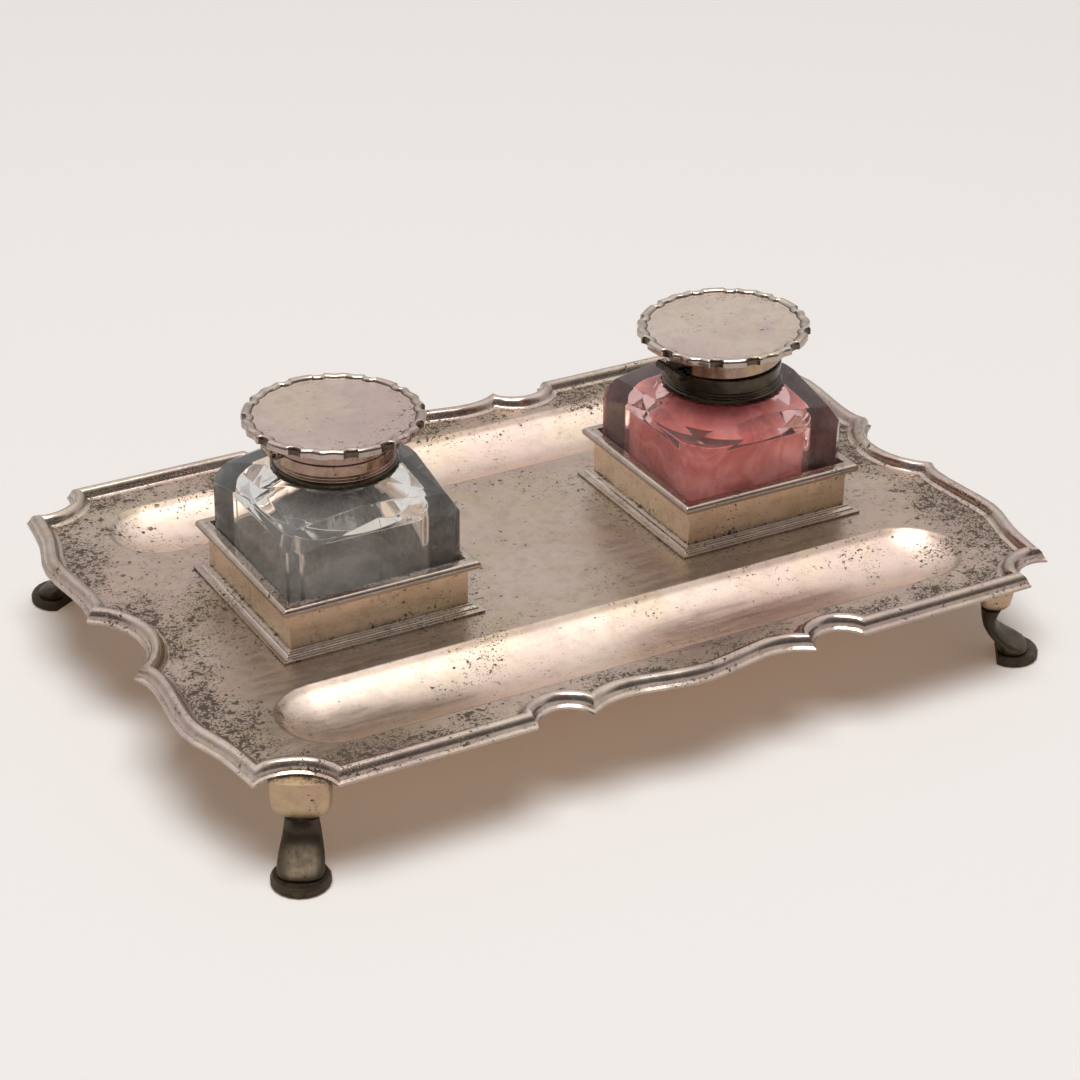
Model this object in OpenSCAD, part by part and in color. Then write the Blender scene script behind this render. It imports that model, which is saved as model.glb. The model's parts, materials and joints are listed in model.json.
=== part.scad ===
// Desk inkstand: a shaped silver tray on four cast feet, with two pen wells and two hinged
// cut-glass inkwells standing in square galleries. Millimetres, +Z up. The origin is on the
// table, midway between the two inkwells. The front is -Y.

/* [Tray] */
// Height of the tray's flat top above the table
tray_z = 31; // [26:1:36]
// Thickness of the tray's sheet
sheet_t = 1.2; // [0.8:0.1:1.6]
// Half length from the middle to the pointed cusps beside each side scoop
side_cusp_x = 135.5; // [130:0.5:141]
// Half width from the middle to the long straight edges
long_edge_y = 92.2; // [90:0.5:96]
// How far each corner scoop's outer end stays behind the side cusps
corner_in_x = 6.3; // [4.5:0.1:10]
// How far that outer end stays behind the long edge
corner_in_y = 10; // [8:0.2:14]
// Distance between the two ends of each corner scoop, along the tray
corner_w = 16.7; // [14:0.1:20]
// Depth of each corner scoop
corner_sag = 5.8; // [4:0.2:7]
// Half length of each side scoop
side_scoop_half = 17.6; // [14:0.2:21]
// Depth of each side scoop
side_scoop_sag = 9.2; // [7:0.2:11]
// How far the waist between side scoop and swelling stays behind the side cusps
side_waist_in = 2.1; // [0.5:0.1:4]
// How far the swelling of each side stands proud of the side cusps
side_swell_out = 0; // [0:0.1:2]
// Hollow of each side between its swelling and its corner
side_hollow = 1; // [0.4:0.1:2]
// Half length of the wavy stretch in each long edge
wave_half = 36; // [30:1:42]
// How far the cusps at both ends of the wavy stretch stand proud of the long edge
wave_cusp = 0.9; // [0:0.1:2]
// Depth of the two hollows of the wavy stretch
wave_hollow = 3.1; // [2:0.1:4]
// How far the middle of the wavy stretch stands proud of the long edge
wave_middle = 0.5; // [0:0.1:1.5]
// Width of the small scoop at each end of the wavy stretch
notch_w = 17; // [14:0.5:20]
// Depth of the small scoop
notch_sag = 6.8; // [5:0.2:8]
// Shift of the front edge's ornament to the right, which the hand-made tray has
front_shift = 3; // [0:0.5:4]

/* [Border] */
// Width of the border moulding, from its outer face to the foot of its cove
border_w = 6.5; // [6:0.1:7]
// Height of the border's bead above the tray's flat top
border_h = 3; // [2:0.05:3.5]
// Width of the border's half-round bead
bead_w = 4.4; // [3.4:0.1:4.6]
// Width of the thin lip outside the bead
edge_w = 0.8; // [0.4:0.05:1.1]
// Thickness of that lip
edge_t = 0.7; // [0.4:0.05:1]
// Seat of the tray's sheet inside the border, from the outer face
seat_in = 2.6; // [2:0.1:3]
// Lap of the border's lower flange inside the seat
flange_lap = 0.5; // [0.2:0.1:0.8]
// Undercut of the cove's foot
undercut = 1; // [0.5:0.1:1.5]

/* [Pen wells] */
// Distance of each well's centre line from the middle line
well_y = 59.5; // [57:0.5:63]
// Length of each well
well_l = 222; // [190:1:224]
// Width of each well at the tray's top
well_w = 31.5; // [26:0.5:34]
// Depth of each well
well_d = 5.5; // [4.5:0.25:7]

/* [Galleries] */
// Distance of each inkwell's centre from the middle
inkwell_x = 65; // [60:1:69]
// Outer width of the gallery's walls
gallery_w = 55.8; // [55.2:0.1:58]
// Thickness of the gallery's walls
wall_t = 0.5; // [0.4:0.05:0.7]
// Height of the gallery's top edge above the tray
gallery_h = 16.5; // [14:0.5:20]
// Overhang of the rim moulding outside the walls
rim_out = 2.9; // [2:0.1:4]
// Height of the rim moulding
rim_h = 3.6; // [3:0.1:5]
// Overhang of the stepped base outside the walls
base_out = 3.7; // [3:0.1:5]
// Height of the stepped base
base_h = 2.4; // [1.8:0.1:3.5]

/* [Glass] */
// Gap between a glass inkwell and the gallery's wall
glass_gap = 0.2; // [0.2:0.05:0.6]
// Leg of the narrow flats on the glass's upright corners
flat_leg = 2.9; // [2.4:0.1:5]
// Height where the upright corners end on the left inkwell
shoulder_z_left = 30.6; // [28:0.2:33]
// Height where the upright corners end on the right inkwell
shoulder_z_right = 28.6; // [26:0.2:31]
// Rise from there to the top of each upright face's peak
peak_rise = 5.8; // [5:0.2:7]
// Rise from there to the shoulder's corner points
corner_rise = 6.0; // [5:0.2:7]
// Inset of the shoulder's corner points behind the faces
shoulder_in = 3.8; // [2.4:0.1:5]
// Rise from there to the top edge of each side's middle facet
crest_rise = 9.2; // [8.5:0.1:10]
// Inset of that top edge behind the face
crest_in = 2.6; // [1.8:0.1:3.8]
// Radius of the neck
neck_r = 15.6; // [14:0.1:16.2]
// Radius of the bore in the neck
bore_r = 12.6; // [10:0.1:13.5]
// Thickness of the glass walls round the ink cavity
glass_wall = 6.6; // [5.2:0.1:9]
// Radius of the ink cavity's upright corners
cavity_r = 8; // [5:0.5:10]
// Thickness of the glass floor
floor_t = 6.2; // [5:0.2:9]

/* [Collars] */
// Height of the left collar's foot above the tray
collar_z_left = 41.8; // [41:0.1:43]
// Height of the right collar's foot above the tray
collar_z_right = 38.4; // [38:0.1:39.6]
// Height of the left collar up to the lid's seam
collar_h_left = 7.2; // [6.6:0.1:9]
// Height of the right collar up to the lid's seam
collar_h_right = 8.1; // [6.6:0.1:9]
// Outer radius of the collar's band
collar_r = 17.6; // [17:0.1:18.2]
// Thickness of the collar's wall
collar_t = 0.9; // [0.6:0.05:1.2]
// Height of the dark ring round the collar's foot
foot_ring_h = 2; // [1.4:0.1:2.6]
// Overhang of that ring outside the band
foot_ring_out = 0.6; // [0.3:0.05:1]
// Height of the lip that the lid closes over
lip_h = 2.4; // [1.5:0.1:3.5]
// Thickness of the lip
lip_t = 0.7; // [0.5:0.05:1]

/* [Lids] */
// Height of the left lid's skirt
skirt_h_left = 6.7; // [5.5:0.1:8]
// Height of the right lid's skirt
skirt_h_right = 8.4; // [6.5:0.1:9.5]
// Thickness of the lid's sheet
lid_t = 0.8; // [0.6:0.05:1]
// Gap between the closed lid and the collar
seam_gap = 0.15; // [0.1:0.05:0.3]
// Radial gap between the lid's skirt and the lip
lip_gap = 0.35; // [0.25:0.05:0.6]
// Outer radius of the lid's border, over its knuckles
lid_r = 26.15; // [25:0.05:27.5]
// Thickness of the lid's flat disc
disc_t = 0.9; // [0.6:0.05:1.2]
// Radius of the lid's flat disc
disc_r = 24.2; // [23.4:0.1:24.6]
// Inner radius of the lid's raised border, at the foot of its slope
border_in_r = 21.9; // [21:0.1:23.2]
// Height of the lid's border from its underside
lid_border_h = 1.75; // [1.4:0.05:2.5]
// Drop of the lid's border below the disc's underside
lid_drop = 0.8; // [0.4:0.1:1.2]
// Width of the ledge under the disc's rim
lid_ledge = 1.2; // [0.6:0.1:1.8]
// Number of repeats of the lid border's wave, scoop, bar and scoop
lid_repeats = 6; // [4:1:8]
// Depth of the lid border's small scoops
lid_scoop_d = 1.1; // [0.6:0.1:1.3]
// Depth of the shallow waves between the scoops
lid_wave_d = 0.6; // [0.2:0.05:0.8]
// How far the straight bars between the scoops stay behind the waves
lid_bar_in = 0.1; // [0.05:0.05:0.3]
// Width of the slope from the border's top down to the disc
lid_slope_w = 2.2; // [1.6:0.1:2.8]
// Direction of the middle of one wave on the left lid, counted from +X
lid_turn_left = -3; // [-30:1:30]
// Direction of the middle of one wave on the right lid, counted from +X
lid_turn_right = -25; // [-30:1:30]
// Angle by which the right lid stands ajar
ajar = 2.5; // [0:0.5:8]

/* [Hinges] */
// Distance of each hinge's axis from the inkwell's centre
hinge_r = 19.5; // [19.3:0.05:20.5]
// Direction of the left hinge, counted from +X
hinge_az_left = 176; // [160:1:200]
// Direction of the right hinge, counted from +X
hinge_az_right = 184; // [176:1:215]
// Outer radius of the hinge's knuckles
knuckle_r = 1.3; // [1.1:0.05:1.5]
// Overall length of the three knuckles on the left
hinge_l_left = 7.4; // [6:0.2:10]
// Overall length of the three knuckles on the right
hinge_l_right = 12; // [8:0.2:13]
// Length of the left lid's middle knuckle
mid_l_left = 2.6; // [2:0.1:3.6]
// Length of the right lid's middle knuckle
mid_l_right = 4.2; // [3:0.1:5]
// Radius of the hinge pin
pin_r = 0.6; // [0.5:0.05:0.7]
// Radial clearance between the pin and the knuckles
pin_fit = 0.05; // [0.03:0.01:0.1]
// Gap between neighbouring knuckles
knuckle_gap = 0.15; // [0.1:0.05:0.3]

/* [Feet] */
// Distance of each foot's pad behind the corner scoop's outer end, along the tray
foot_in_x = 9.8; // [8:0.2:17]
// Distance of each foot's pad behind the long edge
foot_in_y = 7.8; // [5.2:0.2:12]
// Direction in which the feet point, counted from +X for the right front one
foot_az = -60; // [-75:1:-40]
// Half width of the foot's pad
pad_half = 8.2; // [7:0.1:9]
// Height of the foot's pad
pad_h = 3; // [2.4:0.1:4.5]
// Distance of the pad's straight heel from the pad's middle
heel_in = 4.3; // [3.6:0.1:6]
// Half width of the shield-shaped knee
knee_half = 8.6; // [7:0.1:9.6]
// Height of the knee under the tray
knee_h = 11.6; // [8:0.2:13]

/* [Hidden] */
eps = 0.01;
sides = 96;
hinge_sides = 48;
arc_steps = 9;
wave_steps = 6;
side_steps = 3;
bead_steps = 8;
cove_steps = 3;
corner_side_x = side_cusp_x - corner_in_x;
corner_side_y = long_edge_y - corner_in_y;
corner_x = corner_side_x - corner_w;
side_waist_x = side_cusp_x - side_waist_in;
side_swell_x = side_cusp_x + side_swell_out;
foot_x = corner_side_x - foot_in_x;
foot_y = long_edge_y - foot_in_y;
glass_half = gallery_w / 2 - wall_t - glass_gap;
corner_half = glass_half - shoulder_in;
crest_half = glass_half - crest_in;
cavity_half = glass_half - glass_wall;
well_r = (pow(well_w / 2, 2) + pow(well_d, 2)) / (2 * well_d);
well_end = well_l / 2 - well_w / 2;
lid_in_r = collar_r - lid_t;
lip_r = lid_in_r - lip_gap;
seat_r = (collar_r + foot_ring_out) / cos(22.5) + 0.1;
INKWELLS = ["left", "right"];
// Name, side, small displacement and twist of each foot, which was soldered on by eye
CORNERS = [["front_left", -1, -1, [0.8, -2.8], 0], ["front_right", 1, -1, [0.2, 3.4], 26],
    ["back_left", -1, 1, [-0.6, 0.8], 0], ["back_right", 1, 1, [0, 0], 0]];

// Curves of the outline

// Circular arc from a to b that bulges by sag to the left of the way from a to b
function arc_points(a, b, sag, steps) =
    let (chord = b - a,
        half = norm(chord) / 2,
        along = chord / (2 * half),
        left = [-along[1], along[0]],
        r = (half * half + sag * sag) / (2 * sag),
        centre = (a + b) / 2 + left * (sag - r),
        reach = 2 * atan(sag / half))
    [for (i = [0 : steps])
        let (t = -reach + 2 * reach * i / steps)
        centre + along * (r * sin(t)) + left * (r * cos(t))];

// Direction of a smooth curve at its i-th point
function tangent(p, i) =
    i == 0 ? 1.5 * (p[1] - p[0]) - 0.25 * (p[2] - p[0]) :
    i == len(p) - 1 ? 1.5 * (p[i] - p[i - 1]) - 0.25 * (p[i] - p[i - 2]) :
    (p[i + 1] - p[i - 1]) / 2;

// Point of the smooth curve between its i-th and next point
function between(p, i, t) =
    p[i] * (2 * t * t * t - 3 * t * t + 1) + tangent(p, i) * (t * t * t - 2 * t * t + t)
    + p[i + 1] * (3 * t * t - 2 * t * t * t) + tangent(p, i + 1) * (t * t * t - t * t);

// Smooth curve through the points p
function smooth_points(p, steps) =
    concat([for (i = [0 : len(p) - 2], k = [0 : steps - 1]) between(p, i, k / steps)], [p[len(p) - 1]]);

function backwards(p) = [for (i = [len(p) - 1 : -1 : 0]) p[i]];
function turned_round(p) = [for (q = p) [-q[0], -q[1]]];
function mirrored_x(p) = [for (q = p) [-q[0], q[1]]];
function mirrored_y(p) = [for (q = p) [q[0], -q[1]]];

// Stretches of the outline, run round the tray with its inside on their left

function front_stretches(shift) =
    let (line = -long_edge_y,
        cusp_y = line - wave_cusp,
        wave_end = [wave_half, cusp_y],
        notch_end = [wave_half + notch_w, line],
        corner = [corner_x, line],
        wave = [[-wave_half, cusp_y], [-wave_half * 2 / 3, line + wave_hollow], [0, line - wave_middle],
            [wave_half * 2 / 3, line + wave_hollow], wave_end],
        right = [arc_points(wave_end, notch_end, notch_sag, arc_steps), [notch_end, corner]],
        left = [for (s = [right[1], right[0]]) backwards(mirrored_x(s))])
    [for (s = concat(left, [smooth_points(wave, wave_steps)], right)) [for (q = s) q + [shift, 0]]];

function right_stretches() =
    let (cusp = [side_cusp_x, -side_scoop_half],
        corner = [corner_side_x, -corner_side_y],
        span = corner_side_y - side_scoop_half,
        bend = [corner, [(corner_side_x + side_swell_x) / 2 - side_hollow, -side_scoop_half - span * 0.75],
            [side_swell_x, -side_scoop_half - span / 2],
            [side_waist_x, -side_scoop_half - span * 0.14], cusp],
        side = smooth_points(bend, side_steps),
        scoop = arc_points(cusp, [side_cusp_x, side_scoop_half], side_scoop_sag, arc_steps))
    [side, scoop, backwards(mirrored_y(side))];

function corner_stretch(front_x) =
    arc_points([front_x, -long_edge_y], [corner_side_x, -corner_side_y], corner_sag, arc_steps);

// All stretches in order: front, front right corner, right, back right corner and so on
function outline() =
    let (front = front_stretches(front_shift),
        back = [for (s = front_stretches(0)) turned_round(s)],
        right = right_stretches(),
        left = [for (s = right) turned_round(s)],
        front_right = corner_stretch(corner_x + front_shift),
        front_left = backwards(mirrored_x(corner_stretch(corner_x - front_shift))),
        back_corner = corner_stretch(corner_x),
        back_left = turned_round(back_corner),
        back_right = backwards(mirrored_y(back_corner)))
    concat(front, [front_right], right, [back_right], back, [back_left], left, [front_left]);

// First and last stretch of each soldered length in outline()
FRONT = [0, 4];
FRONT_RIGHT = [5, 5];
RIGHT = [6, 8];
BACK_RIGHT = [9, 9];
BACK = [10, 14];
BACK_LEFT = [15, 15];
LEFT = [16, 18];
FRONT_LEFT = [19, 19];

// Offsetting with mitred cusps

function unit(v) = v / norm(v);
function left_of(v) = [-v[1], v[0]];
function cross2(a, b) = a[0] * b[1] - a[1] * b[0];

// Left normal of a stretch at its i-th point, its length such that a kink stays mitred
function inward(p, i) =
    let (last = len(p) - 1,
        before = i == 0 ? undef : unit(p[i] - p[i - 1]),
        after = i == last ? undef : unit(p[i + 1] - p[i]),
        n = i == 0 ? left_of(after) : i == last ? left_of(before) : unit(left_of(before + after)))
    i == 0 || i == last ? n : n / (n * left_of(before));

// The stretch moved inwards by d, with straight tails so that neighbours always meet
function moved_in(p, d) =
    let (last = len(p) - 1,
        q = [for (i = [0 : last]) p[i] + inward(p, i) * d],
        tail = 4 * border_w)
    d == 0 ? p : concat([q[0] - unit(p[1] - p[0]) * tail], q, [q[last] + unit(p[last] - p[last - 1]) * tail]);

// Where two moved stretches cross: [place along the first, place along the second].
// Of several crossings it is the one nearest to the end of the first and the start of the second
function crossing(p, q) =
    let (hits = [for (i = [len(p) - 2 : -1 : 0], j = [0 : len(q) - 2])
            let (u = p[i + 1] - p[i], v = q[j + 1] - q[j], w = q[j] - p[i], den = cross2(u, v))
            if (abs(den) > 1e-9)
                let (s = cross2(w, v) / den, t = cross2(w, u) / den)
                if (s >= 0 && s <= 1 && t >= 0 && t <= 1) [i + s, j + t]],
        away = [for (h = hits) abs(h[0] - len(p) + 2) + abs(h[1] - 1)],
        nearest = min(away))
    [for (k = [0 : len(hits) - 1]) if (away[k] == nearest) hits[k]][0];

function at(p, place) =
    let (i = min(floor(place), len(p) - 2))
    p[i] + (p[i + 1] - p[i]) * (place - i);

// Point of the flat mitre between the stretches p and q, at the distance d from the outer face
function mitre(p, q, d) =
    let (inner = moved_in(q, border_w),
        foot = at(inner, crossing(moved_in(p, border_w), inner)[1]))
    q[0] + (foot - q[0]) * d / border_w;

// The stretch moved inwards by d and trimmed at both neighbours, with its own number of points
function trimmed(before, p, after, d) =
    d == 0 ? p :
    let (q = moved_in(p, d),
        start = crossing(moved_in(before, d), q)[1],
        end = crossing(q, moved_in(after, d))[0],
        n = len(p) - 1)
    concat([mitre(before, p, d)],
        [for (i = [1 : n - 1]) at(q, start + (end - start) * i / n)],
        [mitre(p, after, d)]);

function ring_at(all, d) =
    let (n = len(all))
    [for (s = [0 : n - 1])
        let (t = trimmed(all[(s + n - 1) % n], all[s], all[(s + 1) % n], d))
        for (i = [0 : len(t) - 2]) t[i]];

// Section of the border moulding: [distance from the outer face, height above the flat top]
function border_section() =
    let (bead_foot = 25,
        foot_d = edge_w + bead_w / 2 * (1 + cos(bead_foot)),
        foot_z = border_h * sin(bead_foot))
    concat(
        [[0, -sheet_t], [0, edge_t - sheet_t]],
        [for (i = [0 : bead_steps])
            let (t = 180 - (180 - bead_foot) * i / bead_steps)
            [edge_w + bead_w / 2 * (1 + cos(t)), border_h * sin(t)]],
        [for (i = [1 : cove_steps])
            let (t = 90 * i / cove_steps)
            [border_w - (border_w - foot_d) * cos(t), foot_z * (1 - sin(t))]],
        [[border_w - undercut, -sheet_t / 2], [seat_in - flange_lap, -sheet_t]]);

// One soldered length: the section swept along the stretches first to last
module border_length(span) {
    all = outline();
    n = len(all);
    section = border_section();
    m = len(section);
    rows = [for (c = section)
        [for (s = [span[0] : span[1]])
            let (t = trimmed(all[(s + n - 1) % n], all[s], all[(s + 1) % n], c[0]))
            for (i = [0 : len(t) - (s == span[1] ? 1 : 2)]) [t[i][0], t[i][1], tray_z + c[1]]]];
    k = len(rows[0]);
    points = [for (i = [0 : k - 1], c = [0 : m - 1]) rows[c][i]];
    skin = [for (i = [0 : k - 2], c = [0 : m - 1])
        let (a = i * m + c, b = i * m + (c + 1) % m)
        [[a, b, b + m], [a, b + m, a + m]]];
    faces = concat(
        [for (pair = skin, f = pair) f],
        [[for (c = [m - 1 : -1 : 0]) c]],
        [[for (c = [0 : m - 1]) (k - 1) * m + c]]);
    difference() {
        polyhedron(points, faces, convexity = 6);
        sheet();
    }
}

// Tray

// The flat sheet, which the border's seat takes
module sheet() {
    translate([0, 0, tray_z - sheet_t]) linear_extrude(height = sheet_t) polygon(ring_at(outline(), seat_in));
}

// Long round body along X with ball ends, whose lower skin shapes a pen well
module well_former(r) {
    ball_steps = 10;
    translate([0, 0, well_r - well_d]) rotate([0, -90, 0]) rotate_extrude($fn = sides) polygon(concat(
        [for (i = [0 : ball_steps])
            let (t = 90 * i / ball_steps)
            [r * sin(t), -well_end - r * cos(t)]],
        [for (i = [0 : ball_steps])
            let (t = 90 * i / ball_steps)
            [r * cos(t), well_end + r * sin(t)]]));
}

module tray() {
    color("lightgray") difference() {
        union() {
            sheet();
            for (s = [-1, 1]) translate([0, s * well_y, tray_z]) intersection() {
                well_former(well_r + sheet_t);
                translate([-well_l, -well_w, -2 * well_d]) cube([2 * well_l, 2 * well_w, 2 * well_d - sheet_t / 2]);
            }
        }
        for (s = [-1, 1]) translate([0, s * well_y, tray_z]) well_former(well_r);
    }
}

// Feet

// Ring of a rounded block: half sizes along the foot's direction and across it. A boxiness of 1 is an
// ellipse, and less is squarer
function block_ring(along, z, half_a, half_b, boxiness, n) =
    [for (i = [0 : n - 1])
        let (t = 360 * i / n, c = cos(t), s = sin(t))
        [along + half_a * sign(c) * pow(abs(c), boxiness), half_b * sign(s) * pow(abs(s), boxiness), z]];

// Ring of the pad: a circle cut straight at the heel
function pad_ring(z, r, n) =
    [for (i = [0 : n - 1])
        let (t = 360 * i / n)
        [max(r * cos(t), -heel_in), r * sin(t), z]];

module lofted(rings) {
    n = len(rings[0]);
    k = len(rings);
    points = [for (r = rings, q = r) q];
    faces = concat(
        [[for (i = [0 : n - 1]) i]],
        [[for (i = [n - 1 : -1 : 0]) (k - 1) * n + i]],
        [for (j = [0 : k - 2], i = [0 : n - 1])
            let (a = j * n + i, b = j * n + (i + 1) % n)
            [a, a + n, b + n]],
        [for (j = [0 : k - 2], i = [0 : n - 1])
            let (a = j * n + i, b = j * n + (i + 1) % n)
            [a, b + n, b]]);
    polyhedron(points, faces, convexity = 6);
}

// One cast foot, pointing along +X, with the middle of its pad on the origin
module foot_casting() {
    n = 20;
    under = tray_z - sheet_t;
    knee_z = under - knee_h;
    leg_h = knee_z - pad_h;
    leg_box = 0.8;
    knee_box = 0.6;
    // Rows of the pad from the table up: share of its height, radius by the pad's half width
    pad = [[0, 0.93], [0.2, 1], [0.7, 1], [1, 0.92]];
    // Rows of the leg: offset outwards, share of its height, half depth and half width by the pad's
    leg = [
        [0.15, -0.02, 0.53, 0.74],
        [0.15, 0.05, 0.57, 0.78],
        [-0.2, 0.12, 0.53, 0.78],
        [-1.7, 0.2, 0.44, 0.77],
        [-3.8, 0.29, 0.35, 0.74],
        [-5.7, 0.4, 0.28, 0.69],
        [-7, 0.53, 0.26, 0.64],
        [-7.5, 0.68, 0.27, 0.6],
        [-7.2, 0.82, 0.34, 0.57],
        [-7, 0.89, 0.38, 0.56],
        [-6.8, 0.93, 0.31, 0.45],
        [-6.6, 1.12, 0.33, 0.45]];
    // Rows of the shield-shaped knee from its rounded bottom up to the tray: offset, share of its
    // height, half depth and half width by the knee's
    knee = [
        [-6.5, -0.03, 0.29, 0.42],
        [-6.45, 0.04, 0.45, 0.74],
        [-6.45, 0.17, 0.56, 0.92],
        [-6.6, 0.35, 0.63, 0.96],
        [-6.55, 0.7, 0.66, 0.98],
        [-6.45, 1, 0.66, 0.98]];
    lofted(concat(
        [for (r = pad) pad_ring(r[0] * pad_h, r[1] * pad_half, n)],
        [for (r = leg) block_ring(r[0], pad_h + r[1] * leg_h, r[2] * pad_half, r[3] * pad_half, leg_box, n)]));
    lofted([for (r = knee)
        block_ring(r[0], knee_z + r[1] * knee_h, r[2] * knee_half, r[3] * knee_half, knee_box, n)]);
}

module foot(corner) {
    color("dimgray") translate([corner[1] * foot_x + corner[3][0], corner[2] * foot_y + corner[3][1], 0])
        mirror([corner[1] < 0 ? 1 : 0, 0, 0])
            mirror([0, corner[2] > 0 ? 1 : 0, 0])
                rotate([0, 0, foot_az + corner[4]]) foot_casting();
}

// Galleries

// Square frame of a moulding whose section is [half width, height]
module square_frame(section) {
    rotate([0, 0, 45])
        rotate_extrude($fn = 4) polygon([for (c = section) [c[0] * sqrt(2), c[1]]]);
}

module on_inkwell(side) {
    translate([(side == "left" ? -1 : 1) * inkwell_x, 0, tray_z]) children();
}

module gallery_base(side) {
    inner = gallery_w / 2;
    outer = inner + base_out;
    color("silver") on_inkwell(side) square_frame([
        [inner, 0], [outer, 0], [outer, base_h * 0.3], [outer - base_out * 0.22, base_h * 0.38],
        [outer - base_out * 0.34, base_h * 0.38], [outer - base_out * 0.42, base_h * 0.6],
        [outer - base_out * 0.62, base_h * 0.74], [outer - base_out * 0.68, base_h * 0.74],
        [outer - base_out * 0.76, base_h * 0.96], [outer - base_out * 0.88, base_h],
        [inner, base_h]]);
}

module gallery_walls(side) {
    inner_w = gallery_w - 2 * wall_t;
    top = gallery_h - wall_t;
    color("rosybrown") on_inkwell(side) difference() {
        translate([0, 0, top / 2]) cube([gallery_w, gallery_w, top], center = true);
        translate([0, 0, top / 2]) cube([inner_w, inner_w, top + 1], center = true);
    }
}

module gallery_rim(side) {
    inner = gallery_w / 2 - wall_t;
    outer = gallery_w / 2 + rim_out;
    top = gallery_h;
    round_r = rim_h * 0.42;
    color("silver") on_inkwell(side) square_frame(concat(
        [[inner, top - wall_t], [inner, top], [outer - round_r * 1.3, top]],
        [for (i = [1 : 6])
            let (t = 90 - 25 * i)
            [outer - round_r + round_r * cos(t), top - round_r + round_r * sin(t)]],
        [[inner + wall_t + 0.6, top - rim_h * 0.82], [inner + wall_t, top - rim_h],
            [inner + wall_t, top - wall_t]]));
}

// Glass

function rotated(p, quarter) =
    let (c = [1, 0, -1, 0][quarter], s = [0, 1, 0, -1][quarter])
    [c * p[0] - s * p[1], s * p[0] + c * p[1], p[2]];

// Point where three planes meet, each given as [normal, distance]
function meet(p, q, r) =
    (p[1] * cross(q[0], r[0]) + q[1] * cross(r[0], p[0]) + r[1] * cross(p[0], q[0]))
    / (p[0] * cross(q[0], r[0]));

function plane_through(a, b, c) =
    let (n = cross(b - a, c - a))
    [n, n * a];

// Points of one side of the glass, seen on the front
function glass_side(base_z, top_z) =
    let (a = glass_half,
        edge = a - flat_leg,
        peak = [0, -a, base_z + peak_rise],
        shoulder = [corner_half, -corner_half, base_z + corner_rise],
        foot_corner = [edge, -a, base_z],
        bevel = plane_through(foot_corner, peak, shoulder),
        flat_plane = [[1, -1, 0], 2 * a - flat_leg],
        diagonal = [[1, 1, 0], 0],
        crest_z = base_z + crest_rise,
        crest_plane = plane_through(peak, [1, -a, peak[2]], [0, -crest_half, crest_z]),
        level = [[0, 0, 1], crest_z])
    [[-edge, -a, 0], [edge, -a, 0], [-edge, -a, base_z], foot_corner, peak,
        meet(flat_plane, diagonal, bevel), shoulder, meet(bevel, crest_plane, level),
        [seat_r * sin(22.5), -seat_r * cos(22.5), top_z], [seat_r * sin(67.5), -seat_r * cos(67.5), top_z]];

// Solid block of the glass up to its shoulders
module glass_block(base_z, top_z) {
    own = glass_side(base_z, top_z);
    crest_r = own[7];
    crest_l = [-crest_r[0], crest_r[1], crest_r[2]];
    side_points = [own[0], own[1], own[2], own[3], own[4], own[5], own[6], crest_l, crest_r, own[8], own[9]];
    m = len(side_points);
    points = concat([for (q = [0 : 3], p = side_points) rotated(p, q)], [[0, 0, top_z]]);
    centre = len(points) - 1;
    faces = [for (q = [0 : 3])
        let (s = q * m, e = ((q + 1) % 4) * m, b = ((q + 3) % 4) * m)
        each [
            [s, s + 2, s + 4, s + 3, s + 1],
            [s + 1, s + 3, s + 5, e + 2, e],
            [s + 3, s + 4, s + 8, s + 6, s + 5],
            [s + 2, b + 5, b + 6, s + 7, s + 4],
            [s + 4, s + 7, s + 8],
            [s + 6, s + 8, s + 9],
            [s + 6, s + 9, s + 10],
            [s + 6, s + 10, e + 7],
            [s + 7, b + 10, s + 9],
            [s + 7, s + 9, s + 8],
            [centre, s + 10, s + 9],
            [centre, s + 9, b + 10]]];
    floor_face = [for (q = [3 : -1 : 0], i = [1, 0]) q * m + i];
    polyhedron(points, concat(faces, [floor_face]), convexity = 4);
}

// Ink cavity: a square room with round corners under a short funnel and the neck's bore
module ink_cavity(base_z, lip_z) {
    room_top = base_z - 1;
    straight = 2 * (cavity_half - cavity_r);
    translate([0, 0, floor_t]) linear_extrude(height = room_top - floor_t) union() {
        square([straight, 2 * cavity_half], center = true);
        square([2 * cavity_half, straight], center = true);
        for (x = [-1, 1], y = [-1, 1])
            translate([x, y] * straight / 2) circle(r = cavity_r, $fn = sides);
    }
    translate([0, 0, room_top - eps]) cylinder(r1 = cavity_half - 1, r2 = bore_r, h = 6, $fn = sides);
    translate([0, 0, room_top]) cylinder(r = bore_r, h = lip_z - room_top + 1, $fn = sides);
}

module glass(side) {
    base_z = side == "left" ? shoulder_z_left : shoulder_z_right;
    foot_z = side == "left" ? collar_z_left : collar_z_right;
    height = side == "left" ? collar_h_left : collar_h_right;
    lip_z = foot_z + height - collar_t;
    color(side == "left" ? "lightcyan" : "indianred") on_inkwell(side) difference() {
        union() {
            glass_block(base_z, foot_z);
            translate([0, 0, foot_z - 3]) cylinder(r = neck_r, h = lip_z - foot_z + 3, $fn = sides);
        }
        ink_cavity(base_z, lip_z);
    }
}

// Collars

module on_collar(side) {
    on_inkwell(side) translate([0, 0, side == "left" ? collar_z_left : collar_z_right]) children();
}

function collar_height(side) = side == "left" ? collar_h_left : collar_h_right;

// Bed of plaster between the glass neck and the collar
module cement(side) {
    color("beige") on_collar(side) difference() {
        cylinder(r = collar_r - collar_t, h = collar_height(side) - collar_t, $fn = sides);
        translate([0, 0, -1]) cylinder(r = neck_r, h = collar_height(side) + 1, $fn = sides);
    }
}

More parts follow.
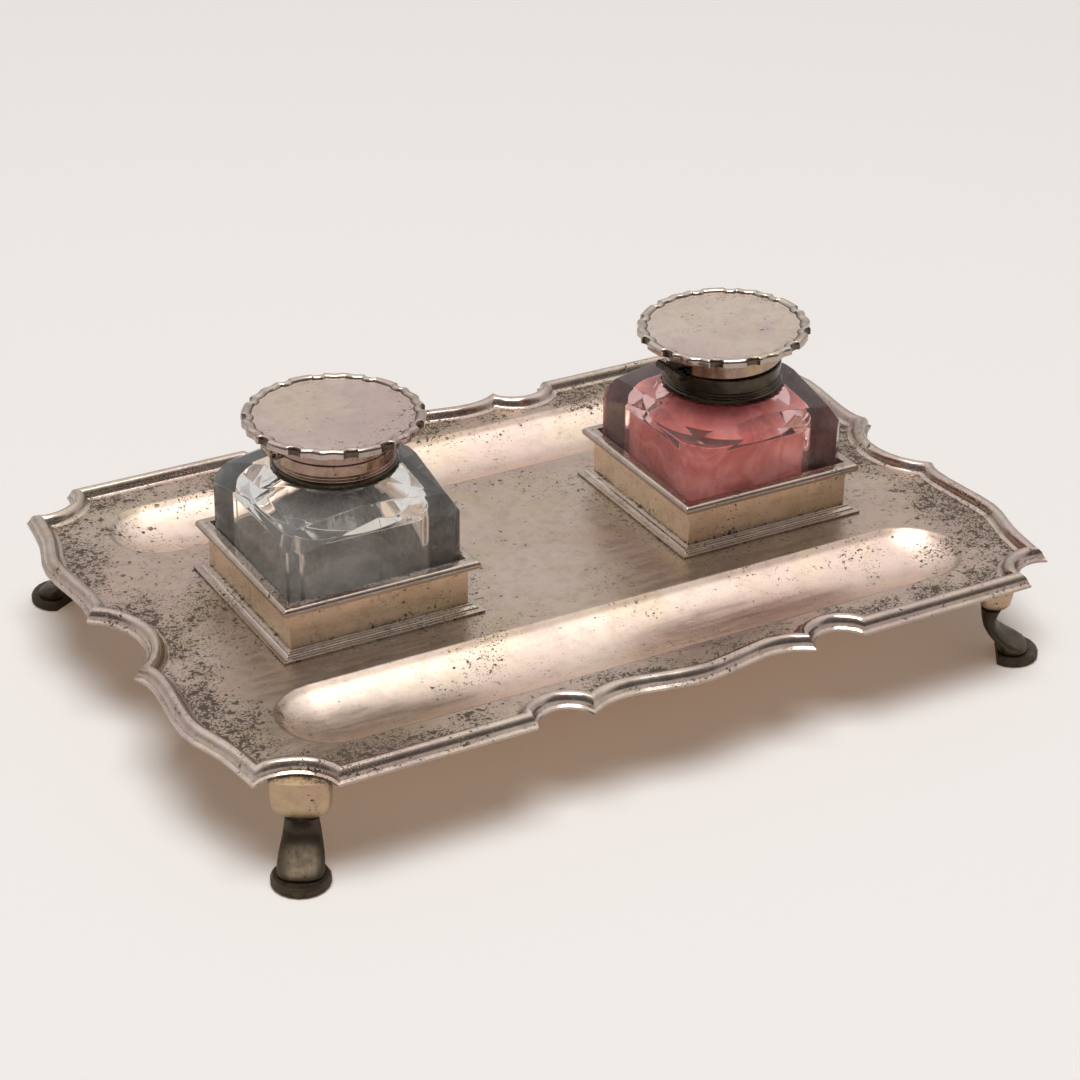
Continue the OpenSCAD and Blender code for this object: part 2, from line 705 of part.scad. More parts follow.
// Dark ring round the foot of the collar
module collar_ring(side) {
    outer = collar_r + foot_ring_out;
    color("#2b2522") on_collar(side) rotate_extrude($fn = sides) polygon([
        [collar_r, 0], [outer - 0.3, 0], [outer, 0.3], [outer, foot_ring_h - 0.5],
        [outer - 0.35, foot_ring_h - 0.1], [collar_r, foot_ring_h]]);
}

// Band with two fine grooves, a closed top and the lip that the lid closes over
module collar(side) {
    h = collar_height(side);
    inner = collar_r - collar_t;
    color("burlywood") on_collar(side) rotate_extrude($fn = sides) polygon([
        [inner, 0], [collar_r, 0], [collar_r, foot_ring_h + 0.25], [collar_r - 0.25, foot_ring_h + 0.4],
        [collar_r - 0.25, foot_ring_h + 0.6], [collar_r, foot_ring_h + 0.75],
        [collar_r, foot_ring_h + 1.25], [collar_r - 0.25, foot_ring_h + 1.4],
        [collar_r - 0.25, foot_ring_h + 1.6], [collar_r, foot_ring_h + 1.75],
        [collar_r, h - 0.3], [collar_r - 0.3, h], [lip_r, h], [lip_r, h + lip_h - 0.2],
        [lip_r - 0.2, h + lip_h], [lip_r - lip_t, h + lip_h], [lip_r - lip_t, h],
        [bore_r, h], [bore_r, h - collar_t], [inner, h - collar_t]]);
}

// Hinges

function hinge_az(side) = side == "left" ? hinge_az_left : hinge_az_right;
function hinge_l(side) = side == "left" ? hinge_l_left : hinge_l_right;
function mid_l(side) = side == "left" ? mid_l_left : mid_l_right;

// Frame of a hinge: X points away from the inkwell's centre, Y runs along the pin
module on_hinge(side) {
    on_collar(side) translate([0, 0, collar_height(side) + seam_gap / 2])
        rotate([0, 0, hinge_az(side)]) translate([hinge_r, 0, 0]) children();
}

// Place of the lid: closed on the left, ajar on the right, turned about the hinge's pin
module on_lid(side) {
    on_hinge(side) rotate([0, side == "right" ? ajar : 0, 0]) translate([-hinge_r, 0, seam_gap / 2])
        rotate([0, 0, -hinge_az(side)]) children();
}

// Knuckle along Y from y0, with a tongue that reaches back into the collar or lid
module knuckle(y0, length, tongue_z) {
    far = max(abs(y0), abs(y0 + length));
    reach = hinge_r - sqrt(pow(collar_r, 2) - pow(far, 2)) + collar_t / 2;
    difference() {
        union() {
            translate([0, y0, 0]) rotate([-90, 0, 0]) cylinder(r = knuckle_r, h = length, $fn = hinge_sides);
            translate([-reach, y0, min(tongue_z, 0)]) cube([reach, length, knuckle_r]);
        }
        translate([0, y0 - 1, 0]) rotate([-90, 0, 0])
            cylinder(r = pin_r + pin_fit, h = length + 2, $fn = hinge_sides);
    }
}

module collar_knuckles(side) {
    end_l = (hinge_l(side) - mid_l(side)) / 2 - knuckle_gap;
    ends = [-hinge_l(side) / 2, hinge_l(side) / 2 - end_l];
    color("dimgray") difference() {
        on_hinge(side) for (y0 = ends) knuckle(y0, end_l, -knuckle_r);
        on_collar(side) cylinder(r = collar_r, h = collar_height(side) + 1, $fn = sides);
    }
}

module hinge_pin(side) {
    color("gray") on_hinge(side) translate([0, -hinge_l(side) / 2, 0]) rotate([-90, 0, 0])
        cylinder(r = pin_r, h = hinge_l(side), $fn = hinge_sides);
}

module lid_knuckle(side) {
    color("dimgray") difference() {
        on_lid(side) rotate([0, 0, hinge_az(side)]) translate([hinge_r, 0, -seam_gap / 2])
            knuckle(-mid_l(side) / 2, mid_l(side), 0);
        on_lid(side) cylinder(r = collar_r, h = skirt_h(side), $fn = sides);
    }
}

// Lids

function skirt_h(side) = side == "left" ? skirt_h_left : skirt_h_right;

module lid_cap(side) {
    color("burlywood") on_lid(side) difference() {
        cylinder(r = collar_r, h = skirt_h(side), $fn = sides);
        translate([0, 0, -1]) cylinder(r = lid_in_r, h = skirt_h(side) - lid_t + 1, $fn = sides);
    }
}

module lid_disc(side) {
    color("tan") on_lid(side) translate([0, 0, skirt_h(side)])
        cylinder(r = disc_r, h = disc_t, $fn = sides);
}

// Radius of the lid's border. off is the distance from the middle of a wave, as a share of one repeat
function lid_edge(off) =
    let (wave_end = 0.225,
        scoop_end = 0.375,
        scoop_half = (scoop_end - wave_end) / 2,
        in_scoop = (off - wave_end - scoop_half) / scoop_half,
        wave_in = lid_wave_d / 2 * (1 - cos(360 * off / wave_end)),
        scoop_in = lid_scoop_d * sqrt(max(0, 1 - in_scoop * in_scoop)))
    lid_r - (off < wave_end ? wave_in : off < scoop_end ? scoop_in : lid_bar_in);

module lid_border(side) {
    steps = 40;
    count = lid_repeats * steps;
    turn = side == "left" ? lid_turn_left : lid_turn_right;
    slope_h = lid_border_h - disc_t;
    color("tan") on_lid(side) translate([0, 0, skirt_h(side)]) difference() {
        translate([0, 0, -lid_drop]) linear_extrude(height = lid_drop + lid_border_h)
            polygon([for (i = [0 : count - 1])
                let (t = turn + 360 * i / count, k = i % steps)
                [cos(t), sin(t)] * lid_edge(min(k, steps - k) / steps)]);
        cylinder(r = disc_r, h = disc_t, $fn = sides);
        translate([0, 0, -lid_drop - 1])
            cylinder(r = disc_r - lid_ledge, h = lid_drop + 1.5, $fn = sides);
        cylinder(r = border_in_r, h = lid_border_h + 1, $fn = sides);
        translate([0, 0, disc_t])
            cylinder(r1 = border_in_r, r2 = border_in_r + 2 * lid_slope_w, h = 2 * slope_h, $fn = sides);
    }
}

tray();
color("silver") border_length(FRONT);  // border_front
color("silver") border_length(BACK);  // border_back
color("silver") border_length(LEFT);  // border_left
color("silver") border_length(RIGHT);  // border_right
color("gainsboro") border_length(FRONT_LEFT);  // corner_front_left
color("gainsboro") border_length(FRONT_RIGHT);  // corner_front_right
color("gainsboro") border_length(BACK_LEFT);  // corner_back_left
color("gainsboro") border_length(BACK_RIGHT);  // corner_back_right
for (c = CORNERS) foot(c);
for (s = INKWELLS) {
    gallery_base(s);
    gallery_walls(s);
    gallery_rim(s);
    glass(s);
    cement(s);
    collar(s);
    collar_ring(s);
    collar_knuckles(s);
    hinge_pin(s);
    lid_knuckle(s);
    lid_cap(s);
    lid_disc(s);
    lid_border(s);
}
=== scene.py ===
"""Looks of the desk inkstand: tarnished silver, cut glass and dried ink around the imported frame."""

import json
import math

import bpy
from mathutils import Matrix, Vector

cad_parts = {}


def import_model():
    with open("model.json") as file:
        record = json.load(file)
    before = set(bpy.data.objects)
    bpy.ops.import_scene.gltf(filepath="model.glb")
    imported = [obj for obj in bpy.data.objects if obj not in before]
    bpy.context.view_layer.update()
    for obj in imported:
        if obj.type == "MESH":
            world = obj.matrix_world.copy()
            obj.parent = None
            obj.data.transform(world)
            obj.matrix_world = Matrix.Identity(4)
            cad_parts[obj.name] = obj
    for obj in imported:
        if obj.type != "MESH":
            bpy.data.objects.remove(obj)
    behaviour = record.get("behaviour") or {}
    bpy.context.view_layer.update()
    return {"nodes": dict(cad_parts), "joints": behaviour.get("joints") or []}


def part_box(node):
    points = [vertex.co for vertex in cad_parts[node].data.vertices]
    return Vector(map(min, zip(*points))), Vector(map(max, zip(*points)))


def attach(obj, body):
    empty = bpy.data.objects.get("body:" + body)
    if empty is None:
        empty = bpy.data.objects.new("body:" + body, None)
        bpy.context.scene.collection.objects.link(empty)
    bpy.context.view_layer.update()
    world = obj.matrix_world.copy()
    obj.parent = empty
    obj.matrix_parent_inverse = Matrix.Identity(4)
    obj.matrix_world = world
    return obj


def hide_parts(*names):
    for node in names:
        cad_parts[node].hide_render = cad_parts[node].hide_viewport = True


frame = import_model()

MM = 0.001
SIDES = ("left", "right")
BORDERS = ("front", "back", "left", "right")
CORNERS = ("front_left", "front_right", "back_left", "back_right")


# Node trees


def add(tree, kind, sockets=None, **props):
    """One node, its properties set and its sockets filled by values or by links."""
    node = tree.nodes.new(kind)
    for key, value in props.items():
        setattr(node, key, value)
    for key, value in (sockets or {}).items():
        socket = node.inputs[key]
        if isinstance(value, bpy.types.NodeSocket):
            tree.links.new(value, socket)
        else:
            socket.default_value = value
    return node


def new_material(name):
    """An empty material, its node tree and the place on the object."""
    material = bpy.data.materials.new(name)
    material.use_nodes = True
    tree = material.node_tree
    tree.nodes.clear()
    place = add(tree, "ShaderNodeTexCoord").outputs["Object"]
    return material, tree, place


def surface(tree, sockets):
    """The surface shader with these sockets, as the material's output."""
    shader = add(tree, "ShaderNodeBsdfPrincipled", sockets)
    add(tree, "ShaderNodeOutputMaterial", {"Surface": shader.outputs[0]})


def calculate(tree, operation, *values, clamp=False):
    sockets = dict(enumerate(values))
    return add(tree, "ShaderNodeMath", sockets, operation=operation, use_clamp=clamp).outputs[0]


def times(tree, a, b):
    return calculate(tree, "MULTIPLY", a, b)


def plus(tree, a, b):
    """The sum, never above one."""
    return calculate(tree, "ADD", a, b, clamp=True)


def largest(tree, a, b):
    return calculate(tree, "MAXIMUM", a, b)


def ramp(tree, value, low, high, out_low=0.0, out_high=1.0):
    """A value mapped from low..high to out_low..out_high, smooth and clamped."""
    made = add(tree, "ShaderNodeMapRange", {
        "Value": value, "From Min": low, "From Max": high, "To Min": out_low, "To Max": out_high},
        interpolation_type="SMOOTHSTEP")
    return made.outputs["Result"]


def noise(tree, place, scale, detail, roughness, distortion=0.0):
    made = add(tree, "ShaderNodeTexNoise", {
        "Vector": place, "Scale": scale, "Detail": detail, "Roughness": roughness,
        "Distortion": distortion})
    return made.outputs["Fac"]


def patches(tree, place, pattern, least=0.0, most=1.0):
    """A named pattern of noise, from least where it is faint to most where it is full."""
    shape, levels = pattern
    return ramp(tree, noise(tree, place, *shape), *levels, least, most)


def blend_colours(tree, factor, a, b):
    node = add(tree, "ShaderNodeMix", data_type="RGBA")
    for key, value in ((0, factor), (6, a), (7, b)):
        if isinstance(value, bpy.types.NodeSocket):
            tree.links.new(value, node.inputs[key])
        elif key == 0:
            node.inputs[key].default_value = value
        else:
            node.inputs[key].default_value = (*value, 1.0)
    return node.outputs[2]


def split_axes(tree, place):
    return add(tree, "ShaderNodeSeparateXYZ", {"Vector": place}).outputs


def stretched(tree, place, scale):
    return add(tree, "ShaderNodeMapping", {"Vector": place, "Scale": scale}).outputs["Vector"]


def shaken(tree, place, scale, shift):
    """The place, moved about by a noise, so that round spots come out ragged."""
    cloud = add(tree, "ShaderNodeTexNoise", {"Vector": place, "Scale": scale, "Detail": 2.0})
    moved = add(tree, "ShaderNodeVectorMath", {0: cloud.outputs["Color"], 3: shift}, operation="SCALE")
    both = add(tree, "ShaderNodeVectorMath", {0: place, 1: moved.outputs[0]}, operation="ADD")
    return both.outputs[0]


def bumps(tree, height, strength, distance, normal=None):
    """The surface's normal, tilted by a height."""
    sockets = {"Strength": strength, "Distance": distance, "Height": height}
    if normal is not None:
        sockets["Normal"] = normal
    return add(tree, "ShaderNodeBump", sockets).outputs["Normal"]


SPOT_EDGE = 0.08


def spots(tree, place, per_metre, radius, share):
    """Round spots: cells of size 1 / per_metre, a share of which holds a spot of that radius in cells."""
    cells = add(tree, "ShaderNodeTexVoronoi", {"Vector": place, "Scale": per_metre, "Randomness": 1.0})
    chance = add(tree, "ShaderNodeSeparateColor", {"Color": cells.outputs["Color"]}).outputs[0]
    size = ramp(tree, chance, 1.0 - share, 1.0, 0.0, radius)
    inside = calculate(tree, "SUBTRACT", size, cells.outputs["Distance"])
    return ramp(tree, inside, 0.0, SPOT_EDGE)


# Tarnished silver

# Noises: scale per metre, detail, roughness and distortion. A pattern is a noise and the two levels
# of it between which the pattern comes up.
ZONES = ((17.0, 3.0, 0.6, 0.4), (0.4, 0.64))
WARM_PATCHES = ((43.0, 5.0, 0.65, 0.8), (0.45, 0.68))
FILM = ((190.0, 6.0, 0.75), (0.42, 0.72))
CLUSTERS = ((36.0, 5.0, 0.7, 0.5), (0.42, 0.66))
EDGE_CLUSTERS = ((52.0, 4.0, 0.65), (0.36, 0.6))
SEAM_DIRT = ((260.0, 4.0, 0.6), (0.35, 0.62))
WIPING_MARKS = (420.0, 6.0, 0.7)
DENTS = (26.0, 1.0, 0.4)

# How strong each pattern gets
WARM_MOST = 0.75
FILM_MOST = 0.5
CLUSTERS_MOST = 0.8
SHELTER_MOST = 1.1
EDGE_LEAST = 0.25
INNER_SHARE = 0.62
SEAM_LEAST = 0.15
DIRT_MOST = 0.92

# Pits: scale of the noise, its level that shows where no pits crowd, and where they crowd most
PITS = ((1900.0, 0.7, 0.53), (850.0, 0.7, 0.55), (380.0, 0.72, 0.58))
PIT_DETAIL = 3.0
PIT_ROUGHNESS = 0.62
PIT_EDGE = 0.035

# Large and small blots: cells per metre, radius in cells and share of the cells. A noise of this
# scale shakes them by this distance, and they come up between two levels of crowding.
BLOTS = ((190.0, 0.22, 0.3), (420.0, 0.3, 0.3))
BLOT_SHAKE = (1500.0, 0.9 * MM)
BLOT_CROWDS = (0.25, 0.5)

# Levels of the shelter, which is one in the open: for pits, and for grime in seams
NEAR_LEVELS = (0.55, 0.99)
SEAM_LEVELS = (0.18, 0.6)

# Width of the bands along a sheet's ends and sides in which pits crowd, and between two sets of tones
END_BAND = 34 * MM
SIDE_BAND = 16 * MM
TONE_BLEND = 0.5 * MM

# Polish and relief, the relief as strength and depth
MARK_LEVELS = (0.25, 0.8)
MARK_SMOOTHER = 0.07
MARK_ROUGHER = 0.1
DIRT_ROUGHER = 0.32
DIRT_LESS_METAL = 0.6
MARK_HEIGHT = 0.2
PIT_DEPTH = 0.8
FINE_RELIEF = (0.5, 0.2 * MM)
DENT_RELIEF = (0.4, 1.2 * MM)


def tarnish(tree, place, tones, top_tones, top_z):
    """Zones of the first two tones, patches of the third and a film of the fourth."""
    if top_tones:
        above = ramp(tree, split_axes(tree, place)["Z"], top_z - TONE_BLEND, top_z + TONE_BLEND)
        tones = [blend_colours(tree, above, low, high) for low, high in zip(tones, top_tones)]
    colour = blend_colours(tree, patches(tree, place, ZONES), tones[0], tones[1])
    warm = patches(tree, place, WARM_PATCHES, most=WARM_MOST)
    colour = blend_colours(tree, warm, colour, tones[2])
    return blend_colours(tree, patches(tree, place, FILM, most=FILM_MOST), colour, tones[3])


def crowding(tree, place, shelter, corner, sheet_half):
    """How thickly pits stand: in clusters, near what shelters the surface, and at a sheet's edges."""
    near = ramp(tree, shelter, *NEAR_LEVELS, 1.0, 0.0)
    clusters = patches(tree, place, CLUSTERS, most=CLUSTERS_MOST)
    crowd = plus(tree, clusters, times(tree, near, SHELTER_MOST * corner))
    if not sheet_half:
        return crowd
    axes = split_axes(tree, place)
    ends = ramp(tree, calculate(tree, "ABSOLUTE", axes["X"]), sheet_half[0] - END_BAND, sheet_half[0])
    sides = ramp(tree, calculate(tree, "ABSOLUTE", axes["Y"]), sheet_half[1] - SIDE_BAND, sheet_half[1])
    outer = times(tree, largest(tree, ends, sides), patches(tree, place, EDGE_CLUSTERS, least=EDGE_LEAST))
    return plus(tree, times(tree, crowd, INNER_SHARE), outer)


def pitting(tree, place, crowd):
    """Ragged specks of three sizes and larger blots, showing where they crowd."""
    dirt = 0.0
    for scale, alone, crowded in PITS:
        grain = noise(tree, place, scale, PIT_DETAIL, PIT_ROUGHNESS)
        level = calculate(tree, "MULTIPLY_ADD", crowd, alone - crowded, grain)
        dirt = largest(tree, dirt, ramp(tree, level, alone, alone + PIT_EDGE))
    ragged = shaken(tree, place, *BLOT_SHAKE)
    large, small = [spots(tree, ragged, *blot) for blot in BLOTS]
    blots = times(tree, largest(tree, large, small), ramp(tree, crowd, *BLOT_CROWDS))
    return largest(tree, dirt, blots)


def silver(name, tones, grime, rough, pits, corner=1.0, brushed=(1.0, 1.0, 1.0), reach=20 * MM,
           top_tones=None, top_z=0.0, sheet_half=None):
    """Tarnished silver: soft zones of four tones, dark pits that crowd in clusters and in sheltered
    corners, grime along the seams, wiping marks along the brushed direction. Above top_z the tones
    can be others. With sheet_half, half a sheet's length and width, pits crowd at its edges."""
    material, tree, place = new_material(name)
    shelter = add(tree, "ShaderNodeAmbientOcclusion", {"Distance": reach}, samples=8).outputs["AO"]
    crowd = times(tree, crowding(tree, place, shelter, corner, sheet_half), pits)
    seam = times(tree, ramp(tree, shelter, *SEAM_LEVELS, 1.0, 0.0),
                 patches(tree, place, SEAM_DIRT, least=SEAM_LEAST))
    dirt = plus(tree, pitting(tree, place, crowd), times(tree, seam, corner))
    dirt = times(tree, dirt, DIRT_MOST)
    marks = noise(tree, stretched(tree, place, brushed), *WIPING_MARKS)
    polish = ramp(tree, marks, *MARK_LEVELS, rough - MARK_SMOOTHER, rough + MARK_ROUGHER)
    height = calculate(tree, "MULTIPLY_ADD", marks, MARK_HEIGHT, times(tree, dirt, -PIT_DEPTH))
    fine = bumps(tree, height, *FINE_RELIEF)
    surface(tree, {
        "Base Color": blend_colours(tree, dirt, tarnish(tree, place, tones, top_tones, top_z), grime),
        "Metallic": calculate(tree, "MULTIPLY_ADD", dirt, -DIRT_LESS_METAL, 1.0),
        "Roughness": plus(tree, polish, times(tree, dirt, DIRT_ROUGHER)),
        "Normal": bumps(tree, noise(tree, place, *DENTS), *DENT_RELIEF, normal=fine)})
    return material


GRIME = (0.05, 0.034, 0.02)
SOOT = (0.012, 0.01, 0.009)
TRAY_TONES = ((0.46, 0.37, 0.31), (0.43, 0.32, 0.27), (0.43, 0.34, 0.24), (0.28, 0.21, 0.16))
# Tones of the pen wells: the tray's own tarnish, made lighter than on the flat top as a painted highlight
WELL_TONES_WITH_HIGHLIGHT = ((0.72, 0.59, 0.5), (0.68, 0.52, 0.45), (0.68, 0.55, 0.41), (0.46, 0.36, 0.28))
BORDER_TONES = ((0.5, 0.42, 0.36), (0.42, 0.32, 0.29), (0.47, 0.38, 0.29), (0.26, 0.2, 0.16))
FOOT_TONES = ((0.085, 0.066, 0.048), (0.06, 0.045, 0.034), (0.14, 0.105, 0.07), (0.04, 0.03, 0.022))
# Tones of the knees: the cast silver's golden tarnish, made lighter than the legs as a painted highlight
# on the knee fronts
KNEE_TONES_WITH_HIGHLIGHT = ((0.56, 0.42, 0.27), (0.52, 0.35, 0.25), (0.5, 0.42, 0.2), (0.34, 0.25, 0.15))
GALLERY_TONES = ((0.9, 0.75, 0.58), (0.86, 0.69, 0.52), (0.8, 0.64, 0.42), (0.48, 0.38, 0.27))
COLLAR_TONES = ((0.5, 0.37, 0.24), (0.3, 0.19, 0.18), (0.46, 0.33, 0.15), (0.1, 0.07, 0.05))
LID_TONES = ((0.54, 0.45, 0.39), (0.47, 0.36, 0.33), (0.53, 0.43, 0.33), (0.36, 0.28, 0.25))
HOLLOW_TONES = ((0.12, 0.09, 0.07), (0.09, 0.065, 0.05), (0.2, 0.15, 0.1), (0.05, 0.038, 0.03))
BLACK_TONES = ((0.05, 0.04, 0.034), (0.07, 0.055, 0.045), (0.12, 0.1, 0.06), (0.022, 0.018, 0.016))

# Heights at which the pen wells and the knees of the feet begin, where their lighter tones with painted
# highlights take over, and half the tray's pitted outline
WELL_Z = 29.7 * MM
KNEE_Z = 17.8 * MM
TRAY_HALF = (126 * MM, 84 * MM)
ALONG_TRAY = (0.12, 1.0, 1.0)
ROUND_GALLERY = (0.2, 0.2, 1.0)

tray_silver = silver("tray_silver", WELL_TONES_WITH_HIGHLIGHT, GRIME, rough=0.36, pits=1.15, brushed=ALONG_TRAY,
                     top_tones=TRAY_TONES, top_z=WELL_Z, sheet_half=TRAY_HALF)
border_silver = silver("border_silver", BORDER_TONES, GRIME, rough=0.2, pits=0.8, reach=6 * MM)
cast_silver = silver("cast_silver", FOOT_TONES, GRIME, rough=0.5, pits=1.3, reach=6 * MM,
                     top_tones=KNEE_TONES_WITH_HIGHLIGHT, top_z=KNEE_Z)
gallery_silver = silver("gallery_silver", GALLERY_TONES, GRIME, rough=0.3, pits=0.7,
                        brushed=ROUND_GALLERY, reach=6 * MM)
collar_silver = silver("collar_silver", COLLAR_TONES, GRIME, rough=0.14, pits=0.6, reach=4 * MM)
lid_silver = silver("lid_silver", LID_TONES, GRIME, rough=0.4, pits=0.7, corner=1.2, reach=4 * MM)
rim_silver = silver("rim_silver", BORDER_TONES, GRIME, rough=0.14, pits=0.5, reach=2 * MM)
hollow_silver = silver("hollow_silver", HOLLOW_TONES, GRIME, rough=0.24, pits=0.6, reach=2 * MM)
black_silver = silver("black_silver", BLACK_TONES, SOOT, rough=0.2, pits=0.6, reach=4 * MM)


# Glass, ink and plaster

GLASS_IOR = 1.31
GLASS_SHADOW = 0.15
GLASS_RUBS = ((320.0, 5.0, 0.7), (0.5, 0.8))
GLASS_CLOUDS = ((60.0, 4.0, 0.6, 0.8), (0.35, 0.7))
GLASS_CLEAREST = 0.96
GLASS_DULLEST = 0.88
GLASS_WAVES = (90.0, 2.0, 0.5)
GLASS_RELIEF = (0.06, 0.4 * MM)


def glass(name, tint, haze):
    """Cut glass with a thin cloudy film, a few rubbed spots and faint waves. Lamps shine through it."""
    material, tree, place = new_material(name)
    shadow_ray = add(tree, "ShaderNodeLightPath").outputs["Is Shadow Ray"]
    surface(tree, {
        "Base Color": (*tint, 1.0),
        "Roughness": patches(tree, place, GLASS_RUBS, most=haze),
        "IOR": GLASS_IOR,
        "Transmission Weight": patches(tree, place, GLASS_CLOUDS, GLASS_CLEAREST, GLASS_DULLEST),
        "Alpha": calculate(tree, "MULTIPLY_ADD", shadow_ray, GLASS_SHADOW - 1.0, 1.0),
        "Normal": bumps(tree, noise(tree, place, *GLASS_WAVES), *GLASS_RELIEF)})
    return material


INK_CLOUDS = ((75.0, 5.0, 0.6, 0.9), (0.38, 0.66))
INK_RUNS = (190.0, 5.0, 0.65)
INK_RUN_LEVELS = (0.52, 0.72)
INK_RUN_MOST = 0.8
INK_THIN_PATCHES = ((120.0, 4.0, 0.6), (0.3, 0.55))
INK_THINNEST = 0.82
INK_THICKEST = 0.97
INK_RELIEF = (0.3, 0.3 * MM)
DOWNWARD = (1.0, 1.0, 0.35)


def ink_material(name, dark, pale, red):
    """Dried ink on the inside of the glass: a cloudy film with redder runs and thin patches."""
    material, tree, place = new_material(name)
    runs = noise(tree, stretched(tree, place, DOWNWARD), *INK_RUNS)
    colour = blend_colours(tree, patches(tree, place, INK_CLOUDS), dark, pale)
    colour = blend_colours(tree, ramp(tree, runs, *INK_RUN_LEVELS, 0.0, INK_RUN_MOST), colour, red)
    surface(tree, {
        "Base Color": colour,
        "Roughness": 0.6,
        "Alpha": patches(tree, place, INK_THIN_PATCHES, INK_THINNEST, INK_THICKEST),
        "Normal": bumps(tree, runs, *INK_RELIEF)})
    return material


GRAIN_DEPTH = 0.2 * MM


def grainy_material(name, dark, light, grain_shape, relief, roughness):
    """A dry crumbly matter of two mixed colours, its grains standing out by the relief's strength."""
    material, tree, place = new_material(name)
    grain = noise(tree, place, *grain_shape)
    surface(tree, {
        "Base Color": blend_colours(tree, grain, dark, light),
        "Roughness": roughness,
        "Normal": bumps(tree, grain, relief, GRAIN_DEPTH)})
    return material


CRUST_GRAIN = (900.0, 4.0, 0.65)
PLASTER_GRAIN = (700.0, 4.0, 0.6)

clear_glass = glass("clear_glass", (0.97, 0.95, 0.92), 0.05)
stained_glass = glass("stained_glass", (0.95, 0.6, 0.58), 0.06)
red_ink_film = ink_material("red_ink_film", (0.64, 0.25, 0.24), (0.88, 0.63, 0.6), (0.5, 0.07, 0.07))
ink_crust = grainy_material("ink_crust", (0.1, 0.006, 0.008), (0.3, 0.02, 0.02), CRUST_GRAIN, 0.7, 0.5)
dirt_crust = grainy_material("dirt_crust", (0.05, 0.045, 0.02), (0.2, 0.17, 0.07), CRUST_GRAIN, 0.7, 0.5)
plaster = grainy_material("plaster", (0.5, 0.46, 0.38), (0.3, 0.26, 0.2), PLASTER_GRAIN, 0.4, 0.85)


# Skins of the CAD parts

GLASS = {"left": clear_glass, "right": stained_glass}
NECK_SILVER = {"left": collar_silver, "right": black_silver}
WELD_GAP = 0.002 * MM
FLAT_ANGLE = math.radians(0.6)
SHARP_ANGLE = math.radians(40.0)


def split_edges(piece, angle=SHARP_ANGLE):
    """Keeps the edges above an angle sharp."""
    split = piece.modifiers.new("split", "EDGE_SPLIT")
    split.split_angle = angle


def skin(node, material, width=0.0, segments=2, angle=30.0):
    """Gives a CAD part its material, soft edges and smooth shading, by modifiers only."""
    piece = frame["nodes"][node]
    mesh = piece.data
    mesh.materials.clear()
    mesh.materials.append(material)
    normals = mesh.attributes.get("custom_normal")
    if normals:
        mesh.attributes.remove(normals)
    for polygon in mesh.polygons:
        polygon.use_smooth = True
    weld = piece.modifiers.new("weld", "WELD")
    weld.merge_threshold = WELD_GAP
    flat = piece.modifiers.new("flat", "DECIMATE")
    flat.decimate_type = "DISSOLVE"
    flat.angle_limit = FLAT_ANGLE
    if width:
        bevel = piece.modifiers.new("bevel", "BEVEL")
        bevel.width = width * MM
        bevel.segments = segments
        bevel.limit_method = "ANGLE"
        bevel.angle_limit = math.radians(angle)
        bevel.use_clamp_overlap = True
        bevel.harden_normals = False
    else:
        split_edges(piece)
    even = piece.modifiers.new("even", "WEIGHTED_NORMAL")
    even.keep_sharp = False
    even.weight = 100


skin("tray", tray_silver, width=0.5, segments=3, angle=25.0)
for side in BORDERS:
    skin("border_" + side, border_silver)
for corner in CORNERS:
    skin("corner_" + corner, border_silver)
    skin("foot_" + corner, cast_silver, width=0.3, angle=40.0)
for side in SIDES:
    skin(side + "_gallery_base", border_silver, width=0.12, angle=25.0)
    skin(side + "_gallery_rim", border_silver, width=0.12, angle=35.0)
    skin(side + "_gallery_walls", gallery_silver, width=0.1, angle=35.0)
    skin(side + "_glass", GLASS[side], width=0.3, angle=10.0)
    skin(side + "_cement", plaster)
    skin(side + "_collar", NECK_SILVER[side], width=0.1)
    skin(side + "_collar_ring", black_silver, width=0.1)
    skin(side + "_collar_knuckles", NECK_SILVER[side], width=0.08, angle=35.0)
    skin(side + "_lid_knuckle", NECK_SILVER[side], width=0.08, angle=35.0)
    skin(side + "_hinge_pin", black_silver, width=0.05, segments=1, angle=35.0)
    skin(side + "_lid_cap", collar_silver, width=0.15)
    skin(side + "_lid_disc", lid_silver, width=0.12)
    skin(side + "_lid_border", rim_silver, width=0.15)


# Pieces of the scene's own


def mesh_piece(name, points, faces, materials, body):
    mesh = bpy.data.meshes.new(name)
    mesh.from_pydata(points, [], faces)
    for material in materials:
        mesh.materials.append(material)
    for polygon in mesh.polygons:
        polygon.use_smooth = True
    mesh.update()
    piece = bpy.data.objects.new(name, mesh)
    bpy.context.scene.collection.objects.link(piece)
    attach(piece, body)
    return piece


def grid_faces(rows, columns, closed_rows=False):
    """Faces between neighbouring rings, each ring closed on itself."""
    last = rows if closed_rows else rows - 1
    return [(i * columns + j, i * columns + (j + 1) % columns,
             ((i + 1) % rows) * columns + (j + 1) % columns, ((i + 1) % rows) * columns + j)
            for i in range(last) for j in range(columns)]


def centre_of(node):
    low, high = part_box(node)
    return (low + high) / 2


# Border of the lids

# Edge of the lid, as in the solids: shares of one repeat, steps back from the full radius, turns in
# degrees
LID_REPEATS = 6
LID_STEPS = 96
LID_RADIUS = 26.15 * MM
LID_TURN = {"left": -3.0, "right": -25.0}
WAVE_END = 0.225
SCOOP_END = 0.375
WAVE_DEPTH = 0.6 * MM
SCOOP_DEPTH = 1.1 * MM
BAR_IN = 0.1 * MM
FOLLOW_LESS = 0.55

# Heights in the lid's own axes, from the underside of its disc, and the lid's place on its collar
SKIRT_H = {"left": 6.7 * MM, "right": 8.4 * MM}
LID_DROP = 0.8 * MM
LID_TOP = 1.75 * MM
DISC_T = 0.9 * MM
HALF_SEAM = 0.075 * MM
AJAR = math.radians(2.5)

